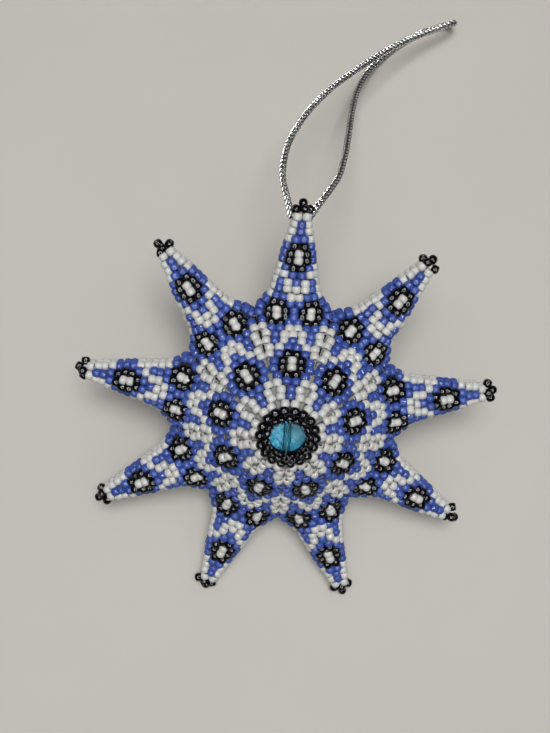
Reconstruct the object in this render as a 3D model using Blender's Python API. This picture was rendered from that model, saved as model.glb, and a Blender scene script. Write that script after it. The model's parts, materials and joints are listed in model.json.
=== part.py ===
"""A nine-pointed star ornament sewn from seed beads, with a hanging loop.

The star is a hollow shell one bead thick. Its front and its back are each worked as nine
diamonds of netted bead pairs, and each pair is a raised shape on the shell. The outer half of a diamond is one side of an arm, and its
inner half is a sector of the dome that rises to the centre bead. Everything is modelled in
metres in the star's own frame first (front up, first arm along +Y), and then the star is
tipped back onto its crown and its two lowest arm tips, which is how it lies on a table.
"""

import math

import bpy
import bmesh
import numpy as np
from mathutils import Matrix, Vector

MM = 0.001

# The beads
COLUMN_PITCH = 2.15 * MM  # from one bead to the next beside it
BEAD_DIAMETER = 2.04 * MM
ROUND_PITCH = 3.4 * MM  # a round is two beads end to end
RIM_BEAD_DIAMETER = 1.72 * MM  # the smaller beads that hold the centre bead
BEAD_MOUTH = 0.78  # a bead's width at its ends, as a share of its diameter
TIP_SPREAD = 0.98  # how far apart a tip's four beads stand, as a share of a diameter
PAIR_CREST = 0.3  # how far a bead pair's crest runs each way, as a share of a round
GROOVE_LEVEL = 0.4  # how far out the grooves between pairs lie, as a share of half a wall

# How the star is worked
ARMS = 9
TIP_COLUMNS = 2  # the columns of a diamond's first round and of its last
ROOT_ROUND = 8  # the widest round, where an arm meets the dome
TUBE_END_ROUND = 6  # an arm is a round tube up to this round
LEVEL_ROUND = 12.5  # the valleys between the sectors die out here
CIRCLE_ROUND = 12  # rounds run straight at the arms and are circles from here on

# The dome
CROWN_RADIUS = 7.2 * MM  # at the middle of the last round
DOME_SLOPE = math.radians(31.5)
ROOT_HEIGHT = 4.7 * MM  # of the ridge where an arm meets the dome
FLARE_POWER = 2.2  # how late an arm widens towards its root
VALLEY_FALL = 1.6  # how fast the valleys grow shallow towards the crown
VALLEY_POWER = 3  # how narrow the valleys are

# The centre beads and their bezels
RIM_LEAN = math.radians(36)  # the inner ring lies this steeply up from the outer
BEAD_WAIST = 0.62  # a ring's thickness between two beads, as a share of a bead's
CENTRE_BEAD_THICKNESS = 4.0 * MM
CENTRE_BEAD_EDGE = 1.6 * MM  # the height of its rim
CENTRE_BEAD_SHOULDER = 1.25 * MM  # how far its slope reaches in from the rim
THREAD_RADIUS = 0.2 * MM

# The hanging loop
CORD_DIAMETER = 1.5 * MM
CROSSING_ROUND = 1.5  # the cord crosses the arm between the first two rounds
KNOT_RADIUS = 1.05 * MM
KNOT_LENGTH = 1.8 * MM
KNOT_SHOULDER = 0.36 * MM  # along the cord, where the knot swells to its full radius
CORD_POINT_SPACING = 2  # in diameters

# Clearances
GAP = 0.3 * MM  # between sewn pieces
CORD_CLEARANCE = 0.3 * MM

# How finely the round shapes are drawn
PANEL_INNER_ROWS = (2.5, 4.5, 6.5, ROOT_ROUND, 9.5, 11.5, 13.5)
PANEL_INNER_ACROSS = (-1.0, -0.7, 0.0, 0.7, 1.0)
BORE_SIDES = 20
TIP_SIDES = 24
RING_SIDES = 8
CENTRE_BEAD_SIDES = 36
CENTRE_HOLE_SIDES = 12
THREAD_SIDES = 8
KNOT_SIDES = 12
ROUTE_STEPS = 20  # between two points of the loop's route

# The loop's route. Each point is its distance from the cord's crossing along X and along
# Y, and the share of the crossing's height that it has come down by, where 1 lies on the
# surface. The cord leaves the arm's left side, turns back at the bight and ends at its
# right side.
LEFT_STRAND = [
    (-4.0, 4.5, 0.02),
    (-4.5, 9.4, 0.06),
    (-4.4, 14.0, 0.10),
    (-3.3, 19.4, 0.17),
    (-1.3, 24.1, 0.23),
    (1.3, 28.9, 0.30),
    (4.4, 33.4, 0.37),
    (8.0, 37.8, 0.44),
    (12.0, 41.9, 0.51),
    (16.4, 46.2, 0.58),
    (21.0, 50.3, 0.65),
    (25.6, 53.9, 0.71),
    (31.0, 57.4, 0.77),
    (34.9, 59.7, 0.805),
]
BIGHT = [
    (37.9, 61.4, 0.828),
    (39.8, 62.6, 0.854),
    (40.6, 63.1, 0.914),
    (39.8, 62.6, 0.975),
    (37.6, 61.6, 1.00),
]
RIGHT_STRAND = [
    (33.4, 59.9, 1.00),
    (28.9, 57.4, 1.00),
    (24.8, 54.8, 0.995),
    (20.8, 51.3, 0.965),
    (17.6, 47.2, 0.91),
    (15.2, 42.2, 0.82),
    (13.7, 36.6, 0.70),
    (12.6, 30.1, 0.56),
    (11.6, 23.3, 0.42),
    (10.5, 17.3, 0.30),
    (9.0, 11.9, 0.19),
    (7.0, 7.2, 0.09),
    (5.0, 3.6, 0.03),
]

SECTOR = math.pi / ARMS  # half of the angle that one diamond takes up
DOME_STEP = ROUND_PITCH * math.cos(DOME_SLOPE)
DOME_RISE = ROUND_PITCH * math.sin(DOME_SLOPE)
LAST_ROUND = 2 * ROOT_ROUND - 1
WALL = BEAD_DIAMETER
CORD_RADIUS = CORD_DIAMETER / 2
BEZEL_BEADS = ARMS * TIP_COLUMNS


def columns(row):
    """How many beads wide a diamond is at a round."""
    return TIP_COLUMNS + ROOT_ROUND - 1 - abs(row - ROOT_ROUND)


def dome_radius(row):
    return CROWN_RADIUS + DOME_STEP * (LAST_ROUND - row)


def arm_reach(row):
    """How far out a round of the arm lies."""
    return dome_radius(ROOT_ROUND) * math.cos(SECTOR) + ROUND_PITCH * (ROOT_ROUND - row)


def ridge_height(row):
    return ROOT_HEIGHT + DOME_RISE * (row - ROOT_ROUND)


def valley_depth(row):
    """How far the valley between two sectors lies below the ridge."""
    share = max(0.0, (LEVEL_ROUND - row) / (LEVEL_ROUND - ROOT_ROUND))
    return ROOT_HEIGHT * share**VALLEY_FALL


def tube_radius(row):
    """The middle of an arm's wall, where its front and back columns close a round tube."""
    return COLUMN_PITCH * columns(row) / math.pi


def arm_point(row, across):
    """A point of an arm's upper side. across runs from -1 at one seam to 1 at the other."""
    tube = tube_radius(row)
    flare = max(0.0, (row - TUBE_END_ROUND) / (ROOT_ROUND - TUBE_END_ROUND))
    root_width = dome_radius(ROOT_ROUND) * math.sin(SECTOR)
    width = tube + (root_width - tube) * flare**FLARE_POWER
    height = tube + (ROOT_HEIGHT - tube) * flare
    turn = across * math.pi / 2
    level = 1 - abs(across) ** VALLEY_POWER
    side = width * ((1 - flare) * math.sin(turn) + flare * across)
    up = height * ((1 - flare) * math.cos(turn) + flare * level)
    return Vector((side, arm_reach(row), up))


def dome_point(row, across):
    """A point of a sector. Its rounds run straight at the arm and bend into circles."""
    straight = max(0.0, (CIRCLE_ROUND - row) / (CIRCLE_ROUND - ROOT_ROUND))
    angle = SECTOR * across
    radius = dome_radius(row) * (math.cos(SECTOR) / math.cos(angle)) ** straight
    up = ridge_height(row) - valley_depth(row) * abs(across) ** VALLEY_POWER
    return Vector((radius * math.sin(angle), radius * math.cos(angle), up))


def diamond_point(row, across):
    if row < ROOT_ROUND:
        return arm_point(row, across)
    return dome_point(row, across)


def wall_direction(row, across):
    """The way the wall's thickness runs: square to it, but along the seam at an edge."""
    step = 0.02
    low_row = max(1.0, row - step)
    high_row = min(float(LAST_ROUND), row + step)
    low = max(-1.0, across - step)
    high = min(1.0, across + step)
    along = diamond_point(high_row, across) - diamond_point(low_row, across)
    over = diamond_point(row, high) - diamond_point(row, low)
    normal = over.cross(along).normalized()
    if normal.z < -1e-6:
        normal.negate()
    if abs(across) < 1:
        return normal
    if row < ROOT_ROUND:
        normal.z = 0.0
    else:
        angle = SECTOR * across
        spoke = Vector((math.sin(angle), math.cos(angle), 0.0))
        sideways = Vector((spoke.y, -spoke.x, 0.0))
        normal -= sideways * normal.dot(sideways)
    if row == ROOT_ROUND:
        normal.z = 0.0
    return normal.normalized()


def arm_matrix(arm):
    """Turns the first arm's place into that of another, clockwise from the front."""
    return Matrix.Rotation(-2 * SECTOR * (arm - 1), 4, "Z")


def material(name, colour, roughness, metallic=0.0):
    found = bpy.data.materials.get(name)
    if found:
        return found
    made = bpy.data.materials.new(name)
    made.use_nodes = True
    shader = made.node_tree.nodes["Principled BSDF"]
    shader.inputs["Base Color"].default_value = (*colour, 1.0)
    shader.inputs["Roughness"].default_value = roughness
    shader.inputs["Metallic"].default_value = metallic
    return made


def blue_glass():
    return material("blue_glass", (0.08, 0.13, 0.62), 0.25)


def black_glass():
    return material("black_glass", (0.012, 0.012, 0.014), 0.12)


def foil_glass():
    return material("foil_glass", (0.10, 0.48, 0.62), 0.1)


def silver_braid():
    return material("silver_braid", (0.62, 0.62, 0.63), 0.3, 1.0)


def grey_thread():
    return material("grey_thread", (0.45, 0.45, 0.44), 0.8)


def add_object(name, mesh, finish, parent):
    made = bpy.data.objects.new(name, mesh)
    bpy.context.scene.collection.objects.link(made)
    mesh.materials.append(finish)
    made.parent = parent
    return made


def finish_mesh(bm, name, sharp_angle=40):
    bmesh.ops.recalc_face_normals(bm, faces=bm.faces)
    mesh = bpy.data.meshes.new(name)
    bm.to_mesh(mesh)
    bm.free()
    mesh.shade_smooth()
    mesh.set_sharp_from_angle(angle=math.radians(sharp_angle))
    return mesh


def bridge_rings(bm, rings, close_rings):
    """Joins neighbouring rings of points with faces."""
    pairs = list(zip(rings, rings[1:]))
    if close_rings:
        pairs.append((rings[-1], rings[0]))
    for near, far in pairs:
        count = len(near)
        for i in range(count):
            j = (i + 1) % count
            bm.faces.new((near[i], near[j], far[j], far[i]))


def panel_edge(row):
    """How far across a row reaches, with half a gap left at its seam."""
    if row < ROOT_ROUND:
        length = columns(row) * COLUMN_PITCH / 2
    else:
        length = dome_radius(row) * SECTOR
    return 1.0 - GAP / 2 / length


def panel_ends():
    """The first and last row of a panel, which keep half a gap to the next pieces."""
    gap = GAP / 2 / ROUND_PITCH
    return 1.0 + gap, LAST_ROUND - gap


def column_edges(row):
    """Where across a round its columns begin and end."""
    count = columns(row)
    return [2 * i / count - 1 for i in range(count + 1)]


def panel_lines():
    """The rows between the rounds, each with the column edges of both its rounds."""
    first, last = panel_ends()
    lines = [(first, column_edges(1))]
    for row in range(1, LAST_ROUND):
        both = set(column_edges(row)) | set(column_edges(row + 1))
        lines.append((row + 0.5, sorted(both)))
    lines.append((last, column_edges(LAST_ROUND)))
    return lines


def wall_point(bm, row, across, level):
    """A corner of the wall, level half walls out from its middle."""
    middle = diamond_point(row, across * panel_edge(row))
    return bm.verts.new(middle + wall_direction(row, across) * (level * WALL / 2))


def zip_lines(bm, near, far):
    """Joins two lines of (place, point) with triangles, in the order of the places."""
    near, far = (sorted(line, key=lambda point: point[0]) for line in (near, far))
    i = 0
    j = 0
    while i < len(near) - 1 or j < len(far) - 1:
        near_next = near[i + 1][0] if i < len(near) - 1 else math.inf
        far_next = far[j + 1][0] if j < len(far) - 1 else math.inf
        if near_next <= far_next:
            bm.faces.new((near[i][1], near[i + 1][1], far[j][1]))
            i += 1
        else:
            bm.faces.new((near[i][1], far[j + 1][1], far[j][1]))
            j += 1


def add_pair(bm, row, start, end, near, far, seam):
    """One raised pair of beads between two column edges, from one line to the next.

    Its crest runs along the column, and its sides and ends slope down to the grooves. The
    root round's outermost pairs also meet the seam's corner. Returns the crest's two ends.
    """
    first, last = panel_ends()
    across = (start + end) / 2
    rows = (max(first, row - PAIR_CREST), min(last, row + PAIR_CREST))
    crest = [wall_point(bm, at, across, 1.0) for at in rows]
    near_points = [point for place, point in near if start <= place <= end]
    far_points = [point for place, point in far if start <= place <= end]
    left = [seam[-1]] if start == -1 and row == ROOT_ROUND else []
    right = [seam[1]] if end == 1 and row == ROOT_ROUND else []
    bm.faces.new([near_points[0], crest[0], crest[1], far_points[0]] + left)
    bm.faces.new([far_points[-1], crest[1], crest[0], near_points[-1]] + right)
    for line, top, is_end in ((near_points, crest[0], row == 1),
                              (far_points, crest[1], row == LAST_ROUND)):
        if not is_end:
            for one, other in zip(line, line[1:]):
                bm.faces.new((one, other, top))
    return crest


def outer_side(bm):
    """A panel's outer side with its bead pairs, as lines of points and two seam corners."""
    lines = [
        [(across, wall_point(bm, row, across, GROOVE_LEVEL)) for across in places]
        for row, places in panel_lines()
    ]
    seam = {side: wall_point(bm, ROOT_ROUND, side, GROOVE_LEVEL) for side in (-1, 1)}
    for row in range(1, LAST_ROUND + 1):
        edges = column_edges(row)
        near = lines[row - 1]
        far = lines[row]
        for start, end in zip(edges, edges[1:]):
            crest = add_pair(bm, row, start, end, near, far, seam)
            if row == 1:
                near.append(((start + end) / 2, crest[0]))
            if row == LAST_ROUND:
                far.append(((start + end) / 2, crest[1]))
    return lines, seam


def inner_side(bm, rows):
    """A panel's smooth inner side, as lines of points."""
    lines = [
        [(across, wall_point(bm, row, across, -1.0)) for across in PANEL_INNER_ACROSS]
        for row in rows
    ]
    for near, far in zip(lines, lines[1:]):
        for i in range(len(near) - 1):
            bm.faces.new((near[i][1], near[i + 1][1], far[i + 1][1], far[i][1]))
    return lines


def panel_mesh(name):
    """One diamond of beadwork as a closed wall."""
    bm = bmesh.new()
    first, last = panel_ends()
    rows = [first, *PANEL_INNER_ROWS, last]
    outer, seam = outer_side(bm)
    inner = inner_side(bm, rows)
    zip_lines(bm, outer[0], inner[0])
    zip_lines(bm, outer[-1], inner[-1])
    for side, edge in ((-1, 0), (1, -1)):
        outside = [(ROOT_ROUND, seam[side])]
        for (row, _), line in zip(panel_lines(), outer):
            outside += [(row, point) for across, point in line if across == side]
        inside = [(row, line[edge][1]) for row, line in zip(rows, inner)]
        zip_lines(bm, outside, inside)
    return finish_mesh(bm, name)


def crossing_place():
    """The middle of the cord's crossing, in the star's frame."""
    return Vector((0.0, arm_reach(CROSSING_ROUND), 0.0))


def cord_offset():
    """How far out beside the arm's tip the cord's two ends turn."""
    return tube_radius(1) + WALL / 2 + CORD_RADIUS


def crossing_cutter(parent):
    """The round passage that the cord crosses the arm in, and swings about."""
    radius = max(KNOT_RADIUS, CORD_RADIUS * math.sqrt(2)) + CORD_CLEARANCE
    length = 2 * (cord_offset() + CORD_DIAMETER)
    bm = bmesh.new()
    place = Matrix.Translation(crossing_place()) @ Matrix.Rotation(math.pi / 2, 4, "Y")
    bmesh.ops.create_cone(
        bm, cap_ends=True, segments=BORE_SIDES, radius1=radius, radius2=radius,
        depth=length, matrix=place,
    )
    made = add_object("crossing_cutter", finish_mesh(bm, "crossing_cutter"), grey_thread(), parent)
    made.hide_render = True
    made.display_type = "WIRE"
    return made


def cut(target, cutter):
    modifier = target.modifiers.new("cut", "BOOLEAN")
    modifier.operation = "DIFFERENCE"
    modifier.solver = "EXACT"
    modifier.object = cutter


def add_panels(parent):
    """Nine diamonds in front and nine behind, which mirror them."""
    cutter = crossing_cutter(parent)
    flip = Matrix.Diagonal((1.0, 1.0, -1.0, 1.0))
    front = panel_mesh("front_panel")
    back = front.copy()
    back.name = "back_panel"
    back.transform(flip)
    back.flip_normals()
    for side, shared in (("front", front), ("back", back)):
        for arm in range(1, ARMS + 1):
            mesh = shared if arm > 1 else shared.copy()
            panel = bpy.data.objects.new(f"{side}_panel_{arm}", mesh)
            bpy.context.scene.collection.objects.link(panel)
            if not mesh.materials:
                mesh.materials.append(blue_glass())
            panel.parent = parent
            panel.matrix_local = arm_matrix(arm)
            if arm == 1:
                cut(panel, cutter)


def clover_radius(angle, offset, bead_radius):
    """The outline of four round beads in a square, seen along their holes."""
    off = (angle % (math.pi / 2)) - math.pi / 4
    centre = offset * math.sqrt(2)
    beside = max(0.0, bead_radius**2 - (centre * math.sin(off)) ** 2)
    return centre * math.cos(off) + math.sqrt(beside)


def tip_mesh():
    """Four black beads that close an arm's tip, sewn side by side in a square."""
    length = ROUND_PITCH / 2 - GAP / 2
    start = arm_reach(1) + GAP / 2
    offset = BEAD_DIAMETER * TIP_SPREAD / 2
    profile = [(0.0, BEAD_MOUTH), (0.25, 1.0), (0.75, 1.0), (1.0, BEAD_MOUTH)]
    bm = bmesh.new()
    rings = []
    for share, swell in profile:
        ring = []
        for i in range(TIP_SIDES):
            angle = 2 * math.pi * i / TIP_SIDES
            radius = clover_radius(angle, offset, BEAD_DIAMETER / 2 * swell)
            ring.append(bm.verts.new((
                radius * math.cos(angle),
                start + share * length,
                radius * math.sin(angle),
            )))
        rings.append(ring)
    bridge_rings(bm, rings, close_rings=False)
    bm.faces.new(rings[0])
    bm.faces.new(rings[-1])
    return finish_mesh(bm, "tip_beads", sharp_angle=60)


def add_tips(parent):
    mesh = tip_mesh()
    mesh.materials.append(black_glass())
    for arm in range(1, ARMS + 1):
        tip = bpy.data.objects.new(f"tip_beads_{arm}", mesh)
        bpy.context.scene.collection.objects.link(tip)
        tip.parent = parent
        tip.matrix_local = arm_matrix(arm)


def bead_ring_mesh(name, radius, height, half_length, half_width, offset):
    """Round beads sewn side by side in a ring, waisted where they touch.

    A bead is half_length long each way along the dome's slope, and half_width square to it.
    """
    steps = BEZEL_BEADS * 2
    bm = bmesh.new()
    rings = []
    for i in range(steps):
        turn = 2 * math.pi * i / steps + offset
        swell = 1.0 if i % 2 == 0 else BEAD_WAIST
        ring = []
        for j in range(RING_SIDES):
            angle = 2 * math.pi * (j + 0.5) / RING_SIDES
            along = half_length * swell * math.cos(angle)
            out = half_width * swell * math.sin(angle)
            far = radius + along * math.cos(DOME_SLOPE) + out * math.sin(DOME_SLOPE)
            up = height - along * math.sin(DOME_SLOPE) + out * math.cos(DOME_SLOPE)
            ring.append(bm.verts.new((far * math.sin(turn), far * math.cos(turn), up)))
        rings.append(ring)
    bridge_rings(bm, rings, close_rings=True)
    return finish_mesh(bm, name, sharp_angle=60)


def bezel_place():
    """The radius and height of the outer ring, the inner beads of the last round's pairs."""
    bead = ROUND_PITCH / 4
    radius = CROWN_RADIUS - bead * math.cos(DOME_SLOPE)
    return radius, ridge_height(LAST_ROUND) + bead * math.sin(DOME_SLOPE)


def bezel_half_length():
    return ROUND_PITCH / 4 - GAP / 2


def rim_place():
    """The radius and height of the inner ring, which sits on the outer and leans in."""
    radius, height = bezel_place()
    step = bezel_half_length() + GAP + RIM_BEAD_DIAMETER / 2
    return radius - step * math.cos(RIM_LEAN), height + step * math.sin(RIM_LEAN)


def centre_bead_radius():
    """The centre bead fills the bezel."""
    return bezel_place()[0] - BEAD_DIAMETER / 2 - GAP


def centre_face_height():
    """The inner ring holds the centre bead down by its shoulder."""
    return rim_place()[1] - RIM_BEAD_DIAMETER / 2 - GAP


def both_sides(name, mesh, finish, parent):
    """The same piece on the front and, turned over, on the back."""
    front = add_object(f"front_{name}", mesh, finish, parent)
    back = bpy.data.objects.new(f"back_{name}", mesh)
    bpy.context.scene.collection.objects.link(back)
    back.parent = parent
    back.matrix_local = Matrix.Rotation(math.pi, 4, "Y")
    return front, back


def add_bezels(parent):
    radius, height = bezel_place()
    half_turn = math.pi / BEZEL_BEADS
    outer = bead_ring_mesh(
        "bezel_ring", radius, height, bezel_half_length(), BEAD_DIAMETER / 2, half_turn
    )
    both_sides("bezel_ring", outer, black_glass(), parent)
    radius, height = rim_place()
    half = RIM_BEAD_DIAMETER / 2
    inner = bead_ring_mesh("rim_ring", radius, height, half, half, 0.0)
    both_sides("rim_ring", inner, black_glass(), parent)


def centre_bead_mesh():
    """A flat round bead: two level faces, sloping shoulders and a thin rim."""
    top = centre_face_height()
    middle = top - CENTRE_BEAD_THICKNESS / 2
    rim = centre_bead_radius()
    face = rim - CENTRE_BEAD_SHOULDER
    profile = [
        (face, top),
        (rim, middle + CENTRE_BEAD_EDGE / 2),
        (rim, middle - CENTRE_BEAD_EDGE / 2),
        (face, top - CENTRE_BEAD_THICKNESS),
    ]
    bm = bmesh.new()
    rings = []
    for radius, up in profile:
        ring = []
        for i in range(CENTRE_BEAD_SIDES):
            angle = 2 * math.pi * i / CENTRE_BEAD_SIDES
            ring.append(bm.verts.new((radius * math.cos(angle), radius * math.sin(angle), up)))
        rings.append(ring)
    bridge_rings(bm, rings, close_rings=False)
    bm.faces.new(rings[0])
    bm.faces.new(rings[-1])
    return finish_mesh(bm, "centre_bead", sharp_angle=20)


def rod_mesh(name, radius, length, height, sides):
    """A thin rod along Y, at a height over the star's middle plane."""
    bm = bmesh.new()
    place = Matrix.Translation((0.0, 0.0, height)) @ Matrix.Rotation(math.pi / 2, 4, "X")
    bmesh.ops.create_cone(
        bm, cap_ends=True, segments=sides, radius1=radius, radius2=radius,
        depth=length, matrix=place,
    )
    return finish_mesh(bm, name)


def add_centre_beads(parent):
    """The two flat round beads, each with a hole along its diameter and its thread."""
    height = centre_face_height() - CENTRE_BEAD_THICKNESS / 2
    width = 2 * centre_bead_radius()
    beads = both_sides("centre_bead", centre_bead_mesh(), foil_glass(), parent)
    hole_radius = THREAD_RADIUS + GAP
    hole_length = width + 2 * GAP
    hole = rod_mesh(
        "centre_hole_cutter", hole_radius, hole_length, height, CENTRE_HOLE_SIDES
    )
    cutters = both_sides("centre_hole_cutter", hole, grey_thread(), parent)
    for bead, cutter in zip(beads, cutters):
        cutter.hide_render = True
        cutter.display_type = "WIRE"
        cut(bead, cutter)
    thread = rod_mesh("centre_thread", THREAD_RADIUS, width, height, THREAD_SIDES)
    both_sides("centre_thread", thread, grey_thread(), parent)


def add_knot(parent):
    """The cord's hidden stretch across the arm's tip, with the knot that joins its ends."""
    reach = cord_offset() - CORD_RADIUS - GAP
    knot = KNOT_LENGTH / 2
    full = knot - KNOT_SHOULDER
    profile = [
        (-reach, CORD_RADIUS), (-knot, CORD_RADIUS), (-full, KNOT_RADIUS),
        (full, KNOT_RADIUS), (knot, CORD_RADIUS), (reach, CORD_RADIUS),
    ]
    bm = bmesh.new()
    rings = []
    for across, radius in profile:
        ring = []
        for i in range(KNOT_SIDES):
            angle = 2 * math.pi * i / KNOT_SIDES
            ring.append(bm.verts.new((across, radius * math.cos(angle), radius * math.sin(angle))))
        rings.append(ring)
    bridge_rings(bm, rings, close_rings=False)
    bm.faces.new(rings[0])
    bm.faces.new(rings[-1])
    knot_object = add_object("loop_knot", finish_mesh(bm, "loop_knot"), silver_braid(), parent)
    knot_object.location = crossing_place()


def all_points(objects):
    """Every corner of the objects, in the frame of their shared parent."""
    found = []
    for piece in objects:
        local = np.array([vertex.co[:] for vertex in piece.data.vertices])
        turn = np.array(piece.matrix_local)
        found.append(local @ turn[:3, :3].T + turn[:3, 3])
    return np.concatenate(found)


def tipped(points, tilt):
    """Points with the star's first arm raised by a tilt about X."""
    lean = np.array(Matrix.Rotation(tilt, 3, "X"))
    return points @ lean.T


def resting_tilt(crown, tips):
    """The tilt at which the crown of the back and the lowest tips meet one surface."""
    low = 0.0
    high = math.pi / 3
    halvings = 50
    for _ in range(halvings):
        tilt = (low + high) / 2
        if tipped(tips, tilt)[:, 2].min() > tipped(crown, tilt)[:, 2].min():
            low = tilt
        else:
            high = tilt
    return low


def lay_down(star):
    """Rests the star on the surface, with its box's middle over the origin."""
    bpy.context.view_layer.update()
    pieces = [piece for piece in star.children if piece.type == "MESH" and not piece.hide_render]
    lowest_tips = [f"tip_beads_{arm}" for arm in (ARMS // 2 + 1, ARMS // 2 + 2)]
    crown = all_points([piece for piece in pieces if piece.name.startswith("back_rim")])
    tips = all_points([piece for piece in pieces if piece.name in lowest_tips])
    tilt = resting_tilt(crown, tips)
    own = [piece for piece in pieces if piece.name != "loop_knot"]
    laid = tipped(all_points(own), tilt)
    low = laid.min(axis=0)
    high = laid.max(axis=0)
    star.rotation_euler = (tilt, 0.0, 0.0)
    star.location = (-(low[0] + high[0]) / 2, -(low[1] + high[1]) / 2, -low[2])
    return tilt


def smooth_line(route, spacing):
    """Points at even steps along a smooth curve through a route's own points."""
    ends = [2 * route[0] - route[1]], [2 * route[-1] - route[-2]]
    points = ends[0] + route + ends[1]
    fine = []
    for i in range(1, len(points) - 2):
        before, start, end, after = points[i - 1:i + 3]
        for step in range(ROUTE_STEPS):
            t = step / ROUTE_STEPS
            fine.append(0.5 * (
                2 * start + (end - before) * t
                + (2 * before - 5 * start + 4 * end - after) * t**2
                + (3 * start - before - 3 * end + after) * t**3
            ))
    fine.append(route[-1])
    lengths = [0.0]
    for near, far in zip(fine, fine[1:]):
        lengths.append(lengths[-1] + (far - near).length)
    count = max(2, round(lengths[-1] / spacing))
    even = []
    at = 0
    for i in range(count + 1):
        want = lengths[-1] * i / count
        while at < len(fine) - 2 and lengths[at + 1] < want:
            at += 1
        share = (want - lengths[at]) / (lengths[at + 1] - lengths[at])
        even.append(fine[at].lerp(fine[at + 1], min(1.0, share)))
    return even, lengths[-1]


def loop_route(height):
    """The route's points from the cord's crossing, which is at a height."""
    fall = height - CORD_RADIUS
    points = [
        Vector((x * MM, y * MM, -share * fall))
        for x, y, share in LEFT_STRAND + BIGHT + RIGHT_STRAND
    ]
    ends = []
    for side, near in ((-1, points[0]), (1, points[-1])):
        start = Vector((side * cord_offset(), 0.0, 0.0))
        way = (near - start).normalized()
        ends.append([start - way * CORD_RADIUS, start + way * CORD_DIAMETER])
    return ends[0] + points + ends[1][::-1]


def add_loop(place):
    """The silver cord, which leaves one side of the tip and comes back to the other."""
    hinge = bpy.data.objects.new("loop_hinge", None)
    bpy.context.scene.collection.objects.link(hinge)
    hinge.location = place
    line, length = smooth_line(loop_route(place.z), CORD_DIAMETER * CORD_POINT_SPACING)
    curve = bpy.data.curves.new("hanging_loop", "CURVE")
    curve.dimensions = "3D"
    curve.bevel_depth = CORD_RADIUS
    curve.bevel_resolution = 2
    curve.use_fill_caps = True
    spline = curve.splines.new("POLY")
    spline.points.add(len(line) - 1)
    for point, place_on_line in zip(spline.points, line):
        point.co = (*place_on_line, 1.0)
    curve.materials.append(silver_braid())
    loop = bpy.data.objects.new("hanging_loop", curve)
    bpy.context.scene.collection.objects.link(loop)
    loop.parent = hinge
    return length


def main():
    for piece in list(bpy.data.objects):
        bpy.data.objects.remove(piece, do_unlink=True)
    star = bpy.data.objects.new("star_frame", None)
    bpy.context.scene.collection.objects.link(star)
    add_panels(star)
    add_tips(star)
    add_bezels(star)
    add_centre_beads(star)
    add_knot(star)
    tilt = lay_down(star)
    bpy.context.view_layer.update()
    crossing = star.matrix_world @ crossing_place()
    length = add_loop(crossing)
    bpy.context.view_layer.update()
    face = star.matrix_world @ Vector((0.0, 0.0, centre_face_height()))
    print(f"tilt {math.degrees(tilt):.3f} degrees, star at {tuple(star.location)}")
    print(f"cord crossing at {tuple(crossing)}, loop {length * 1000:.1f} mm long")
    print(f"front centre face at {tuple(face)}")
    back = star.matrix_world @ Vector((0.0, 0.0, -centre_face_height()))
    print(f"back centre face at {tuple(back)}")


main()
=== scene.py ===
# %% [markdown]
# # A beaded star ornament
#
# A hollow star with nine arms, sewn from about 2,900 glass seed beads, lies face up on a
# pale table. It leans back on the crown of its back and on its two lowest arm tips. A loop
# of silver braid runs from the tip of the top arm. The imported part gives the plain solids
# and what moves; this lesson makes the beads, the cord, the foil glass and the light.

import json
import math

import bpy
import numpy as np
from mathutils import Matrix, Vector, noise


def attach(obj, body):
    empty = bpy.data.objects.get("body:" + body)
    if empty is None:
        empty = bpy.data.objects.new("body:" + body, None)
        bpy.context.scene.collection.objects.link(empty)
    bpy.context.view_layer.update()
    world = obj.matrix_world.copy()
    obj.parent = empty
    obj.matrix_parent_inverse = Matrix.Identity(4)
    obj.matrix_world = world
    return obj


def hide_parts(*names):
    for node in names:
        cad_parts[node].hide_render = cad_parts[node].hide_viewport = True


MM = 0.001
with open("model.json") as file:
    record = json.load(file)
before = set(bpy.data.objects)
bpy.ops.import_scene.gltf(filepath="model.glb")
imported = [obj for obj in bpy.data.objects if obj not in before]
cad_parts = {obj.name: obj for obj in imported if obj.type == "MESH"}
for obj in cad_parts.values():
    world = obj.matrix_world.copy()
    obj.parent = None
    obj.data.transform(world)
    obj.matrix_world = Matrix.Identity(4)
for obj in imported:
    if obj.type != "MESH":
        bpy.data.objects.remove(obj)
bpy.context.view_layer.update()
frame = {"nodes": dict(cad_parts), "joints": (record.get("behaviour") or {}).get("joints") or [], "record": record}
chance = np.random.default_rng(9)

# %% [markdown]
# ## The camera
#
# The photograph looks nearly straight down from close by, a little from the near left. A
# constraint could aim the camera, but a matrix made from where it stands, what it looks at
# and how far it rolls is easier to check. The lens is given for a 36 mm frame.

# %% Set up the camera
CAMERA_PLACE = Vector((-15.2, -14.2, 288.2)) * MM
CAMERA_AIM = Vector((-3.1, 9.7, 20.0)) * MM
CAMERA_ROLL = math.radians(3.24)
LENS = 54.0


def linked(name, data):
    """A new object that holds the data, in the scene."""
    made = bpy.data.objects.new(name, data)
    bpy.context.scene.collection.objects.link(made)
    return made


look = (CAMERA_AIM - CAMERA_PLACE).normalized()
above = Vector((-math.sin(CAMERA_ROLL), math.cos(CAMERA_ROLL), 0.0))
right = look.cross(above).normalized()
above = right.cross(look)
camera = linked("camera", bpy.data.cameras.new("camera"))
camera.data.lens = LENS
camera.data.clip_start = 5 * MM
camera.matrix_world = Matrix.Translation(CAMERA_PLACE) @ Matrix(
    (right, above, -look)
).transposed().to_4x4()
bpy.context.scene.camera = camera
print("camera stands", round(CAMERA_PLACE.z / MM), "mm above the table")

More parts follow.
